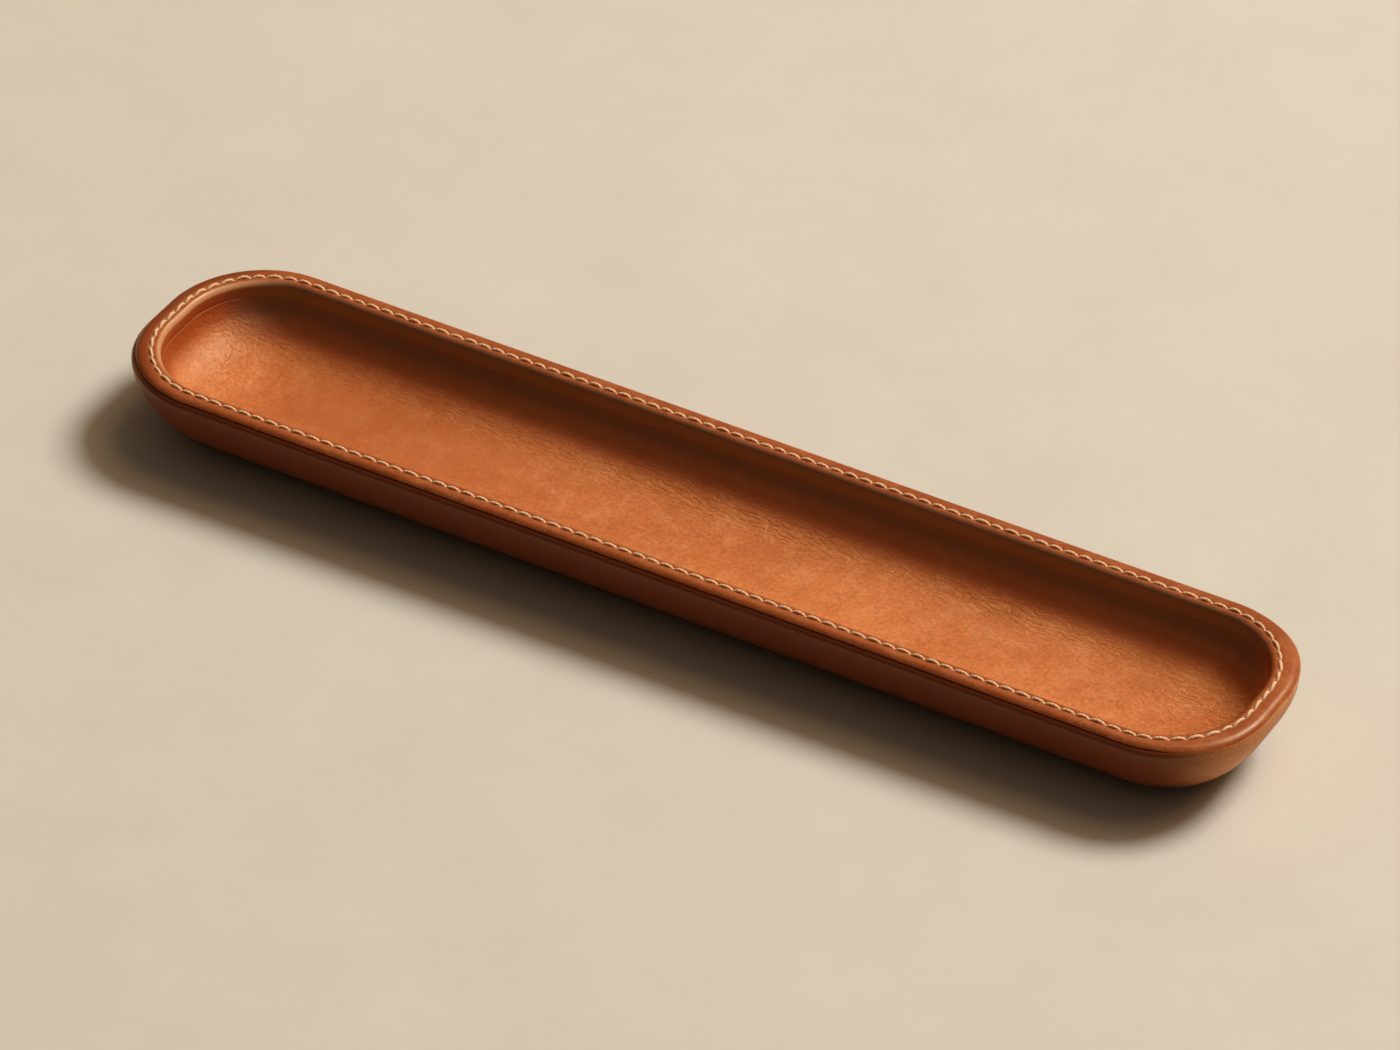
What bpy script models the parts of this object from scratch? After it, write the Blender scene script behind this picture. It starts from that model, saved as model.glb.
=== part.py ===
"""Leather pen tray, built up as it is made.

A moulded fibre core lies between an outer shell and an inner liner of leather. A leather
binding goes over the rim, and one seam of two threads sews it to the shell's top edge,
which turns in under it. A thin sole covers the base.

Frame: metres, +Z up, the long side along X, the origin under the middle of the tray on the
surface that it stands on. Every leather is a section swept round the seam line, a rounded
rectangle. A section's points are (offset, height): the offset runs out from the seam line,
or in when it is negative, and the height is counted from the surface below the tray.
"""

import math

import bmesh
import bpy

MM = 0.001

# Seam line in plan
SEAM_HALF_LENGTH = 126.4 * MM
SEAM_HALF_WIDTH = 22.2 * MM
SEAM_END_HALF_STRAIGHT = 3.4 * MM

# Clearance between pieces that touch
FIT_GAP = 0.3 * MM

# Leather and core
SHELL_THICKNESS = 1.3 * MM
SHELL_FLANGE_THICKNESS = 0.8 * MM
BINDING_THICKNESS = 1.2 * MM
BINDING_EDGE_THICKNESS = 0.35 * MM
BINDING_SKIVE_OFFSET = 1.2 * MM
LINER_THICKNESS = 1.2 * MM
CORE_FLOOR_THICKNESS = 2.5 * MM
SOLE_THICKNESS = 0.6 * MM

# Rim
RIM_HEIGHT = 19.6 * MM
RIM_REACH = 3.05 * MM
RIM_ROLL_RADIUS = 1.55 * MM
RIM_ROLL_DEGREES = 56.0
INNER_LIP_RADIUS = 1.5 * MM
LIP_BACK_RADIUS = 0.3 * MM
FLAP_LAP = 0.85 * MM

# Trough
TROUGH_WALL_INSET = 1.9 * MM
TROUGH_FLAT_HALF_WIDTH = 2.0 * MM
TROUGH_POWER = 2.4

# Outer wall
WALL_REACH = 3.7 * MM
WALL_POWER = 1.5
SHOULDER_RADIUS = 1.2 * MM
SHOULDER_RISE = 0.3 * MM
BASE_HALF_WIDTH = 13.0 * MM
SOLE_INSET = 1.5 * MM

# Threads
STITCH_PITCH = 3.35 * MM
NEEDLE_THREAD_DIAMETER = 0.56 * MM
BOBBIN_THREAD_DIAMETER = 0.5 * MM
STITCH_GROOVE_DEPTH = 0.58 * MM
STITCH_ARCH_HEIGHT = 0.55 * MM
STITCH_SLANT = 0.12 * MM
BOBBIN_RISE = 0.1 * MM
THREAD_END_GAP = 0.8 * MM
# Each stitch's points, as (share of the pitch, share of the arch's height, share of the slant)
NEEDLE_STITCH_SHARES = ((0.0, 0.0, 0.0), (0.24, 0.62, 0.8), (0.54, 1.0, 0.1), (0.84, 0.66, -0.8))
BOBBIN_STITCH_SHARES = ((0.0, 1.0, 0.0), (0.5, 0.0, 0.0))

# Fineness of the curves
CORNER_SEGMENTS = 8
EDGE_SEGMENTS = 6
LIP_SEGMENTS = 5
BACK_SEGMENTS = 2
SHOULDER_SEGMENTS = 5
TROUGH_SEGMENTS = 9
WALL_SEGMENTS = 9
SHARP_DEGREES = 40.0

# Heights and offsets that follow from the sizes above
SEAM_CORNER_RADIUS = SEAM_HALF_WIDTH - SEAM_END_HALF_STRAIGHT
LIP_HEIGHT = RIM_HEIGHT - INNER_LIP_RADIUS
LIP_OFFSET = INNER_LIP_RADIUS - TROUGH_WALL_INSET
TROUGH_HALF_WIDTH = SEAM_HALF_WIDTH - TROUGH_WALL_INSET
GROOVE_HALF_WIDTH = NEEDLE_THREAD_DIAMETER / 2 + FIT_GAP
GROOVE_HEIGHT = RIM_HEIGHT - STITCH_GROOVE_DEPTH
ROLL_OFFSET = RIM_REACH - RIM_ROLL_RADIUS
ROLL_HEIGHT = RIM_HEIGHT - RIM_ROLL_RADIUS
FLAP_BACK_OFFSET = BINDING_THICKNESS - TROUGH_WALL_INSET
BINDING_UNDERSIDE = RIM_HEIGHT - BINDING_THICKNESS
FLANGE_HEIGHT = RIM_HEIGHT - BINDING_THICKNESS - FIT_GAP
FLANGE_UNDERSIDE = FLANGE_HEIGHT - SHELL_FLANGE_THICKNESS
SHOULDER_OFFSET = WALL_REACH - SHOULDER_RADIUS
WALL_HEIGHT = FLANGE_HEIGHT + SHOULDER_RISE - SHOULDER_RADIUS
SHELL_BASE_HEIGHT = SOLE_THICKNESS + FIT_GAP
CORE_BASE_HEIGHT = SHELL_BASE_HEIGHT + SHELL_THICKNESS + FIT_GAP
LINER_BASE_HEIGHT = CORE_BASE_HEIGHT + CORE_FLOOR_THICKNESS + FIT_GAP
TROUGH_FLOOR_HEIGHT = LINER_BASE_HEIGHT + LINER_THICKNESS
TROUGH_DROP = LIP_HEIGHT - TROUGH_FLOOR_HEIGHT
BASE_OFFSET = BASE_HALF_WIDTH - SEAM_HALF_WIDTH
CORE_TOP_HEIGHT = FLANGE_UNDERSIDE - FIT_GAP
FLAP_END_HEIGHT = CORE_TOP_HEIGHT - FLAP_LAP
BOBBIN_LOW_HEIGHT = CORE_TOP_HEIGHT - BOBBIN_RISE - BOBBIN_THREAD_DIAMETER / 2
CHANNEL_HALF_WIDTH = BOBBIN_THREAD_DIAMETER / 2 + FIT_GAP
CHANNEL_HEIGHT = BOBBIN_LOW_HEIGHT - BOBBIN_THREAD_DIAMETER / 2 - FIT_GAP


def clear_scene():
    """Remove whatever the scene holds."""
    for old in list(bpy.data.objects):
        bpy.data.objects.remove(old, do_unlink=True)


def linear_channel(value):
    """One sRGB channel of 0 to 255 as the linear value that a shader takes."""
    share = value / 255
    if share <= 0.04045:
        return share / 12.92
    return ((share + 0.055) / 1.055) ** 2.4


def principled(name, srgb, roughness):
    """A plain material of one sRGB colour."""
    material = bpy.data.materials.new(name)
    material.use_nodes = True
    shader = material.node_tree.nodes["Principled BSDF"]
    red, green, blue = (linear_channel(value) for value in srgb)
    shader.inputs["Base Color"].default_value = (red, green, blue, 1.0)
    shader.inputs["Roughness"].default_value = roughness
    shader.inputs["Metallic"].default_value = 0.0
    return material


def rounded_loop(offset):
    """Points of the seam line's rounded rectangle at an offset, anticlockwise.

    The corner radius shrinks with the half width, so the loops stay rounded all the way
    in to the middle of the tray.
    """
    half_length = SEAM_HALF_LENGTH + offset
    half_width = SEAM_HALF_WIDTH + offset
    radius = SEAM_CORNER_RADIUS * half_width / SEAM_HALF_WIDTH
    points = []
    for corner, (side_x, side_y) in enumerate(((1, 1), (-1, 1), (-1, -1), (1, -1))):
        for step in range(CORNER_SEGMENTS + 1):
            angle = math.pi / 2 * (corner + step / CORNER_SEGMENTS)
            x = side_x * (half_length - radius) + radius * math.cos(angle)
            y = side_y * (half_width - radius) + radius * math.sin(angle)
            points.append((x, y))
    return points


def arc(centre, radius, start_degrees, end_degrees, segments):
    """Points of an arc in a section, both ends included."""
    points = []
    for step in range(segments + 1):
        share = step / segments
        angle = math.radians(start_degrees + (end_degrees - start_degrees) * share)
        offset = centre[0] + radius * math.cos(angle)
        height = centre[1] + radius * math.sin(angle)
        points.append((offset, height))
    return points


def superellipse(width, drop, power, start, end, segments):
    """Points (across, down) of a quarter superellipse, between two angles in radians."""
    points = []
    for step in range(segments + 1):
        angle = start + (end - start) * step / segments
        across = width * math.cos(angle) ** (2 / power)
        down = drop * math.sin(angle) ** (2 / power)
        points.append((across, down))
    return points


def moved_left(points, distance):
    """An open run of section points, each moved to its left by a distance."""
    moved = []
    for index, (offset, height) in enumerate(points):
        before = points[max(index - 1, 0)]
        after = points[min(index + 1, len(points) - 1)]
        run = after[0] - before[0]
        rise = after[1] - before[1]
        length = math.hypot(run, rise)
        moved.append((offset - rise / length * distance, height + run / length * distance))
    return moved


def trough_face(top_height):
    """The trough's visible face, from a height on its wall down to its floor's middle strip."""
    drop_share = (LIP_HEIGHT - top_height) / TROUGH_DROP
    flat_share = TROUGH_FLAT_HALF_WIDTH / TROUGH_HALF_WIDTH
    start = math.asin(drop_share ** (TROUGH_POWER / 2))
    end = math.acos(flat_share ** (TROUGH_POWER / 2))
    curve = superellipse(TROUGH_HALF_WIDTH, TROUGH_DROP, TROUGH_POWER, start, end, TROUGH_SEGMENTS)
    return [(across - SEAM_HALF_WIDTH, LIP_HEIGHT - down) for across, down in curve]


def trough_wall_offset(height):
    """Offset of the trough's visible wall at a height."""
    drop_share = (LIP_HEIGHT - height) / TROUGH_DROP
    width_share = (1 - drop_share**TROUGH_POWER) ** (1 / TROUGH_POWER)
    return TROUGH_HALF_WIDTH * width_share - SEAM_HALF_WIDTH


def wall_face():
    """The outer wall's visible face, from the shoulder down to the base's edge."""
    across = WALL_REACH - BASE_OFFSET
    down = WALL_HEIGHT - SHELL_BASE_HEIGHT
    curve = superellipse(across, down, WALL_POWER, 0.0, math.pi / 2, WALL_SEGMENTS)
    return [(BASE_OFFSET + out, WALL_HEIGHT - drop) for out, drop in curve]


def binding_section():
    """Closed section of the rim binding, from its outer roll round its back to the groove."""
    roll_centre = (ROLL_OFFSET, ROLL_HEIGHT)
    roll_end = 90.0 - RIM_ROLL_DEGREES
    lip_centre = (LIP_OFFSET, LIP_HEIGHT)
    back_centre = (FLAP_BACK_OFFSET + LIP_BACK_RADIUS, BINDING_UNDERSIDE - LIP_BACK_RADIUS)
    flap_face = trough_wall_offset(FLAP_END_HEIGHT)
    groove_share = (-GROOVE_HALF_WIDTH - LIP_OFFSET) / INNER_LIP_RADIUS
    lip_end = max(math.degrees(math.acos(groove_share)), 90.0)
    section = arc(roll_centre, RIM_ROLL_RADIUS, 90.0, roll_end, EDGE_SEGMENTS)
    tilt = math.radians(RIM_ROLL_DEGREES)
    inner_radius = RIM_ROLL_RADIUS - BINDING_EDGE_THICKNESS
    edge_height = ROLL_HEIGHT + inner_radius * math.cos(tilt)
    section.append((ROLL_OFFSET + inner_radius * math.sin(tilt), edge_height))
    section.append((BINDING_SKIVE_OFFSET, BINDING_UNDERSIDE))
    section += arc(back_centre, LIP_BACK_RADIUS, 90.0, 180.0, BACK_SEGMENTS)
    section.append((flap_face + BINDING_THICKNESS, FLAP_END_HEIGHT))
    section.append((flap_face, FLAP_END_HEIGHT))
    section += arc(lip_centre, INNER_LIP_RADIUS, 180.0, lip_end, LIP_SEGMENTS)
    section.append((-GROOVE_HALF_WIDTH, GROOVE_HEIGHT))
    section.append((GROOVE_HALF_WIDTH, GROOVE_HEIGHT))
    section.append((GROOVE_HALF_WIDTH, RIM_HEIGHT))
    return section


def shell_section():
    """Section of the outer shell, from the middle of its base, out, up, in and back down."""
    outside = wall_face()
    inside = moved_left(outside, -SHELL_THICKNESS)
    shoulder = arc((SHOULDER_OFFSET, WALL_HEIGHT), SHOULDER_RADIUS, 0.0, 90.0, SHOULDER_SEGMENTS)
    flange_end = FLAP_BACK_OFFSET + FIT_GAP
    middle = TROUGH_FLAT_HALF_WIDTH - SEAM_HALF_WIDTH
    section = [(middle, SHELL_BASE_HEIGHT)]
    section += list(reversed(outside))
    section += shoulder[1:]
    section.append((BINDING_SKIVE_OFFSET + FIT_GAP, FLANGE_HEIGHT))
    section.append((flange_end, FLANGE_HEIGHT))
    section.append((flange_end, FLANGE_UNDERSIDE))
    section.append((WALL_REACH - SHELL_THICKNESS, FLANGE_UNDERSIDE))
    section += inside
    section.append((middle, SHELL_BASE_HEIGHT + SHELL_THICKNESS))
    return section


def core_section():
    """Section of the fibre core, from the middle of its underside, out, up, in and down.

    Its inner top edge is cut down to make room for the bobbin thread behind the flap.
    """
    outside = moved_left(wall_face(), -SHELL_THICKNESS - FIT_GAP)
    flap_back = trough_wall_offset(FLAP_END_HEIGHT) + BINDING_THICKNESS + FIT_GAP
    back_top = min(FLAP_END_HEIGHT - FIT_GAP, CHANNEL_HEIGHT)
    liner_back = moved_left(trough_face(back_top), LINER_THICKNESS + FIT_GAP)
    middle = TROUGH_FLAT_HALF_WIDTH - SEAM_HALF_WIDTH
    section = [(middle, CORE_BASE_HEIGHT)]
    section += [point for point in reversed(outside) if point[1] < CORE_TOP_HEIGHT]
    section.append((outside[0][0], CORE_TOP_HEIGHT))
    section.append((CHANNEL_HALF_WIDTH, CORE_TOP_HEIGHT))
    section.append((CHANNEL_HALF_WIDTH, CHANNEL_HEIGHT))
    section.append((flap_back, CHANNEL_HEIGHT))
    section += liner_back
    return section


def liner_section():
    """Section of the liner, from the middle of its back, out, up and down its visible face."""
    face = trough_face(FLAP_END_HEIGHT - FIT_GAP)
    back = moved_left(face, LINER_THICKNESS)
    return list(reversed(back)) + face


def sole_section():
    """Section of the sole: its top, its edge and its flat underside."""
    edge = BASE_OFFSET - SOLE_INSET
    middle = TROUGH_FLAT_HALF_WIDTH - SEAM_HALF_WIDTH
    return [(middle, 0.0), (edge, 0.0), (edge, SOLE_THICKNESS), (middle, SOLE_THICKNESS)]


def swept_object(name, section, material, is_ring):
    """Sweep a section round the seam line as one closed body.

    A ring's last point joins its first. Otherwise the two end loops are filled, which
    closes the floor's middle strip above and below.
    """
    shape = bmesh.new()
    loops = []
    for offset, height in section:
        loops.append([shape.verts.new((x, y, height)) for x, y in rounded_loop(offset)])
    pairs = list(zip(loops, loops[1:]))
    if is_ring:
        pairs.append((loops[-1], loops[0]))
    else:
        shape.faces.new(loops[0])
        shape.faces.new(loops[-1])
    for lower, upper in pairs:
        for index in range(len(lower)):
            after = (index + 1) % len(lower)
            shape.faces.new((lower[index], lower[after], upper[after], upper[index]))
    bmesh.ops.recalc_face_normals(shape, faces=shape.faces)
    mesh = bpy.data.meshes.new(name)
    shape.to_mesh(mesh)
    shape.free()
    mesh.shade_smooth()
    mesh.set_sharp_from_angle(angle=math.radians(SHARP_DEGREES))
    mesh.materials.append(material)
    placed = bpy.data.objects.new(name, mesh)
    bpy.context.collection.objects.link(placed)
    return placed


def seam_runs():
    """The seam line's straight runs and corner arcs, in order, from the middle of its +Y side.

    Each is its length and a function that gives the point and the outward normal at a
    distance along it.
    """
    radius = SEAM_CORNER_RADIUS
    straight_x = SEAM_HALF_LENGTH - radius
    straight_y = SEAM_HALF_WIDTH - radius

    def straight(start, heading):
        normal = (heading[1], -heading[0])
        return lambda along: ((start[0] + heading[0] * along, start[1] + heading[1] * along), normal)

    def corner(centre, start_angle):
        def place(along):
            angle = start_angle + along / radius
            normal = (math.cos(angle), math.sin(angle))
            return (centre[0] + radius * normal[0], centre[1] + radius * normal[1]), normal
        return place

    quarter = math.pi / 2 * radius
    return [
        (straight_x, straight((0.0, SEAM_HALF_WIDTH), (-1, 0))),
        (quarter, corner((-straight_x, straight_y), math.pi / 2)),
        (2 * straight_y, straight((-SEAM_HALF_LENGTH, straight_y), (0, -1))),
        (quarter, corner((-straight_x, -straight_y), math.pi)),
        (2 * straight_x, straight((-straight_x, -SEAM_HALF_WIDTH), (1, 0))),
        (quarter, corner((straight_x, -straight_y), math.pi * 3 / 2)),
        (2 * straight_y, straight((SEAM_HALF_LENGTH, -straight_y), (0, 1))),
        (quarter, corner((straight_x, straight_y), 0.0)),
        (straight_x, straight((straight_x, SEAM_HALF_WIDTH), (-1, 0))),
    ]


def seam_place(runs, distance):
    """Point and outward normal at a distance along the seam line."""
    remaining = distance
    for length, place in runs[:-1]:
        if remaining < length:
            return place(remaining)
        remaining -= length
    return runs[-1][1](remaining)


def seam_path(stitch_shares, low_height, rise, slant):
    """Points of one thread, once round the seam line, with its two ends a little apart."""
    runs = seam_runs()
    total = sum(length for length, _ in runs)
    stitches = round(total / STITCH_PITCH)
    pitch = total / stitches
    marks = []
    for stitch in range(stitches):
        marks += [(stitch + along, up, side) for along, up, side in stitch_shares]
    _, last_up, last_side = stitch_shares[0]
    marks.append((stitches, last_up, last_side))
    path = []
    for along, up, side in marks:
        distance = min(max(along * pitch, THREAD_END_GAP / 2), total - THREAD_END_GAP / 2)
        (x, y), normal = seam_place(runs, distance)
        shift = slant * side
        path.append((x + normal[0] * shift, y + normal[1] * shift, low_height + rise * up))
    return path


def thread_object(name, path, diameter, material):
    """A thread as a capped tube along a path."""
    curve = bpy.data.curves.new(name, "CURVE")
    curve.dimensions = "3D"
    curve.twist_mode = "Z_UP"
    curve.bevel_depth = diameter / 2
    curve.bevel_resolution = 0
    curve.use_fill_caps = True
    spline = curve.splines.new("POLY")
    spline.points.add(len(path) - 1)
    for point, place in zip(spline.points, path):
        point.co = (*place, 1.0)
    curve.materials.append(material)
    placed = bpy.data.objects.new(name, curve)
    bpy.context.collection.objects.link(placed)
    return placed


def build_leathers():
    """The leather pieces and the core."""
    wall_tan = principled("wall_leather", (150, 78, 40), 0.45)
    rim_tan = principled("rim_leather", (166, 86, 45), 0.38)
    liner_tan = principled("liner_leather", (196, 112, 60), 0.5)
    core_brown = principled("core_fibre", (140, 112, 82), 0.9)
    suede_brown = principled("sole_suede", (92, 62, 42), 0.95)
    swept_object("outer_shell", shell_section(), wall_tan, is_ring=False)
    swept_object("rim_binding", binding_section(), rim_tan, is_ring=True)
    swept_object("inner_liner", liner_section(), liner_tan, is_ring=False)
    swept_object("fibre_core", core_section(), core_brown, is_ring=False)
    swept_object("base_sole", sole_section(), suede_brown, is_ring=False)


def build_threads():
    """The two threads of the seam."""
    cream = principled("thread_cream", (226, 196, 158), 0.7)
    needle_low = GROOVE_HEIGHT + FIT_GAP + NEEDLE_THREAD_DIAMETER / 2
    needle_path = seam_path(NEEDLE_STITCH_SHARES, needle_low, STITCH_ARCH_HEIGHT, STITCH_SLANT)
    bobbin_path = seam_path(BOBBIN_STITCH_SHARES, BOBBIN_LOW_HEIGHT, BOBBIN_RISE, STITCH_SLANT)
    thread_object("needle_thread", needle_path, NEEDLE_THREAD_DIAMETER, cream)
    thread_object("bobbin_thread", bobbin_path, BOBBIN_THREAD_DIAMETER, cream)


def main():
    """Build the tray."""
    clear_scene()
    build_leathers()
    build_threads()


if __name__ == "__main__":
    main()
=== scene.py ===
"""The look of a leather pen tray: its moulded leathers, its sewn rim and its threads.

Every leather is a section swept round the seam line. A section's points are (offset, height):
the offset runs out from the seam line, or in when it is negative, and the height is counted
from the surface below the tray. Lengths are in metres, and MM turns millimetres into them.
"""

import logging
import math
from abc import ABC, abstractmethod
from collections.abc import Callable
from dataclasses import dataclass, replace
from enum import Enum

import bmesh
import bpy
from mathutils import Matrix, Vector, noise

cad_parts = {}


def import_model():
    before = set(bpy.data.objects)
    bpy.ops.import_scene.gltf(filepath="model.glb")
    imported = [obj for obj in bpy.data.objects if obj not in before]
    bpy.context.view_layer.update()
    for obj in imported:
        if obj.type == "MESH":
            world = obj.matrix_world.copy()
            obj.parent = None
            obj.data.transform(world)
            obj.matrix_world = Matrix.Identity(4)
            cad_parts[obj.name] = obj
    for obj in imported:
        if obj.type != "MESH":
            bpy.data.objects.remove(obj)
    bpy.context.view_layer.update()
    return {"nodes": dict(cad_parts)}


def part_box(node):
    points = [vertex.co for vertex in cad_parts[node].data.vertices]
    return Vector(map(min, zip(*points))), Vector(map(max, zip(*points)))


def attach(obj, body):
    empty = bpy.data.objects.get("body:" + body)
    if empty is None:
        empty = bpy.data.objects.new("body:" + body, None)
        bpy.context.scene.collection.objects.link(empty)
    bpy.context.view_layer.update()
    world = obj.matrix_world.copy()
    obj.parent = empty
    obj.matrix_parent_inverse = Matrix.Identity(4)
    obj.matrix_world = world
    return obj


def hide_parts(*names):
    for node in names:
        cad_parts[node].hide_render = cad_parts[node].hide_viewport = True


LOG = logging.getLogger("pen_tray")
MM = 0.001
BODY = "root"
TINY = 1e-12
MERGE_DISTANCE = 0.002 * MM
# The vector noise starts from the clock unless it is given a seed
NOISE_SEED = 11

Tree = bpy.types.NodeTree
Socket = bpy.types.NodeSocket
SectionPoint = tuple[float, float]
Section = list[SectionPoint]
# A span is (start, end), as smooth_share takes them; it may run downwards
Span = tuple[float, float]
Placed = tuple[Vector, dict[str, float]]


def linear_colour(sheet_hex: str) -> tuple[float, float, float, float]:
    """Turn an sRGB hex colour into the linear one that a shader takes.

    Args:
        sheet_hex: six hex digits, such as "cd733a".

    Returns:
        Red, green, blue and alpha.
    """
    channels = []
    for start in (0, 2, 4):
        share = int(sheet_hex[start : start + 2], 16) / 255
        channels.append(share / 12.92 if share <= 0.04045 else ((share + 0.055) / 1.055) ** 2.4)
    return channels[0], channels[1], channels[2], 1.0


def per_metre(size_mm: float) -> float:
    """A texture node's scale for a pattern whose features are size_mm across."""
    return 1.0 / (size_mm * MM)


def smooth_share(value: float, start: float, end: float) -> float:
    """A smooth step: 0 at start, 1 at end."""
    share = min(max((value - start) / (end - start), 0.0), 1.0)
    return share * share * (3.0 - 2.0 * share)


def bell(value: float, middle: float, half_width: float) -> float:
    """A smooth hump: 1 in the middle and 0.37 at the half width."""
    return math.exp(-(((value - middle) / half_width) ** 2))


def between(before: SectionPoint, after: SectionPoint, part: float) -> SectionPoint:
    """The point at a part of the way from one point to another."""
    return before[0] + (after[0] - before[0]) * part, before[1] + (after[1] - before[1]) * part


def feed(tree: Tree, node: bpy.types.Node, inputs: dict) -> None:
    """Link or set a node's inputs.

    Args:
        tree: the node tree.
        node: the node.
        inputs: values or output sockets, by input name or number.
    """
    for name, value in inputs.items():
        if isinstance(value, Socket):
            tree.links.new(value, node.inputs[name])
        else:
            node.inputs[name].default_value = value


def add_node(
    tree: Tree, kind: str, inputs: dict | None = None, **settings: object
) -> bpy.types.Node:
    """Add a node to a material.

    Args:
        tree: the material's node tree.
        kind: the node's type name, without the ShaderNode that begins it.
        inputs: values or output sockets for its inputs, by input name or number.
        settings: the node's own options.

    Returns:
        The new node.
    """
    node = tree.nodes.new("ShaderNode" + kind)
    for name, value in settings.items():
        setattr(node, name, value)
    feed(tree, node, inputs or {})
    return node


@dataclass(frozen=True)
class SeamLine:
    """The stitches' line in plan, a rounded rectangle that all the leathers follow."""

    half_length: float
    half_width: float
    corner_radius: float
    # Half the run over which the line's direction is taken
    facing_step: float = 0.2 * MM

    @classmethod
    def from_frame(cls, wall_reach: float, end_half_straight: float) -> "SeamLine":
        """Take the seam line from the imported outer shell.

        Args:
            wall_reach: how far the shell's wall reaches out from the stitches.
            end_half_straight: half the straight run across the tray's end.

        Returns:
            The seam line.
        """
        _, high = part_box("outer_shell")
        half_width = high.y - wall_reach
        return cls(high.x - wall_reach, half_width, half_width - end_half_straight)

    @property
    def length(self) -> float:
        """The length once round."""
        straights = self.half_length + self.half_width - 2 * self.corner_radius
        return 4 * straights + 2 * math.pi * self.corner_radius

    def corner_point(self, corner: int, angle: float, offset: float) -> tuple[float, float]:
        """A point of a corner's arc, whose radius shrinks with the loop's half width.

        Args:
            corner: 0 to 3, in the order that the needle meets them.
            angle: direction from the arc's centre, in radians.
            offset: distance out from the seam line.

        Returns:
            Its x and y.
        """
        side_x, side_y = ((-1, 1), (-1, -1), (1, -1), (1, 1))[corner]
        half_width = self.half_width + offset
        radius = self.corner_radius * half_width / self.half_width
        x = side_x * (self.half_length + offset - radius) + radius * math.cos(angle)
        y = side_y * (half_width - radius) + radius * math.sin(angle)
        return x, y

    def place(self, share: float, offset: float) -> tuple[float, float]:
        """The point at a share of the way round, from the middle of the +Y side towards -X.

        Args:
            share: 0 to 1, once round.
            offset: distance out from the seam line.

        Returns:
            Its x and y.
        """
        half_run = self.half_length - self.corner_radius
        end_run = 2 * (self.half_width - self.corner_radius)
        quarter = math.pi / 2 * self.corner_radius
        remaining = (share % 1.0) * self.length
        behind = (0.0, self.half_width + offset)
        for corner, run in enumerate((half_run, end_run, 2 * half_run, end_run)):
            start = math.pi / 2 * (corner + 1)
            if remaining < run:
                return between(behind, self.corner_point(corner, start, offset), remaining / run)
            remaining -= run
            if remaining < quarter:
                return self.corner_point(corner, start + remaining / self.corner_radius, offset)
            remaining -= quarter
            behind = self.corner_point(corner, start + math.pi / 2, offset)
        return behind[0] * (1.0 - remaining / half_run), behind[1]

    def facing(self, share: float) -> float:
        """The direction that the loop faces.

        Args:
            share: 0 to 1, once round.

        Returns:
            Radians: 0 is +X and a quarter turn is +Y.
        """
        step = self.facing_step / self.length
        x0, y0 = self.place(share - step, 0.0)
        x1, y1 = self.place(share + step, 0.0)
        return math.atan2(x0 - x1, y1 - y0)


@dataclass(frozen=True)
class HandShaping:
    """The slight unevenness of leather that was moulded, sewn and used by hand."""

    plan_sway: float = 0.14 * MM
    height_sway: float = 0.10 * MM
    sway_length: float = 62 * MM
    sway_start: tuple[float, float, float] = (3.1, 7.7, 1.3)
    # The sway grows from nothing at the base to all of it here
    sway_height: float = 18 * MM
    # Where the outer wall swells or sinks: direction, half spread in degrees, amount
    swells: tuple[tuple[float, float, float], ...] = (
        (196.0, 42.0, 0.32 * MM),
        (0.0, 26.0, -0.10 * MM),
        (46.0, 26.0, 0.18 * MM),
        (90.0, 40.0, 0.22 * MM),
        (270.0, 40.0, -0.26 * MM),
    )
    # Spans of the facing's sine or cosine over which a side or an end takes over
    side_span: Span = (0.35, 0.95)
    left_span: Span = (-0.15, -0.8)
    right_span: Span = (0.2, 0.9)
    # How much of the painted side shade lies on the trough's near side
    near_side_shade: float = 0.5

    def moved(self, x: float, y: float, height: float) -> Vector:
        """A point of the tray after the sway.

        Args:
            x: place along the tray.
            y: place across the tray.
            height: height above the surface below the tray.

        Returns:
            Where the point goes.
        """
        spot = Vector((x, y, 0.0)) / self.sway_length
        sway = noise.noise_vector(spot + Vector(self.sway_start))
        lift = min(height / self.sway_height, 1.0)
        x += sway.x * self.plan_sway * lift
        y += sway.y * self.plan_sway * lift
        return Vector((x, y, height + sway.z * self.height_sway * lift))

    def side_shade(self, facing: float) -> float:
        """How much painted shade darkens the leather: full along the sides, little at the ends."""
        return smooth_share(abs(math.sin(facing)), *self.side_span)

    def inner_side_shade(self, facing: float) -> float:
        """The same painted shade inside the trough, where the near side is half as dark."""
        return self.side_shade(facing) * (1.0 if math.sin(facing) > 0.0 else self.near_side_shade)

    def left_end(self, facing: float) -> float:
        """1 round the tray's left end, 0 along its sides and round its right end."""
        return smooth_share(math.cos(facing), *self.left_span)

    def right_end(self, facing: float) -> float:
        """1 round the tray's right end, 0 along its sides and round its left end."""
        return smooth_share(math.cos(facing), *self.right_span)

    def swell(self, facing: float) -> float:
        """How far the outer wall stands out from its plain loop.

        Args:
            facing: the direction that the loop faces here.

        Returns:
            The distance, less than 0 where the wall sinks.
        """
        total = 0.0
        for direction, spread, amount in self.swells:
            turn = (math.degrees(facing) - direction + 180.0) % 360.0 - 180.0
            total += amount * bell(turn, 0.0, spread)
        return total


def arc(centre: SectionPoint, radius: float, start: float, end: float, segments: int) -> Section:
    """Points of an arc in a section, both ends included.

    Args:
        centre: its centre.
        radius: its radius.
        start: first direction in degrees.
        end: last direction in degrees.
        segments: number of steps.

    Returns:
        The points in order.
    """
    points = []
    for step in range(segments + 1):
        angle = math.radians(start + (end - start) * step / segments)
        points.append((centre[0] + radius * math.cos(angle), centre[1] + radius * math.sin(angle)))
    return points


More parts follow.
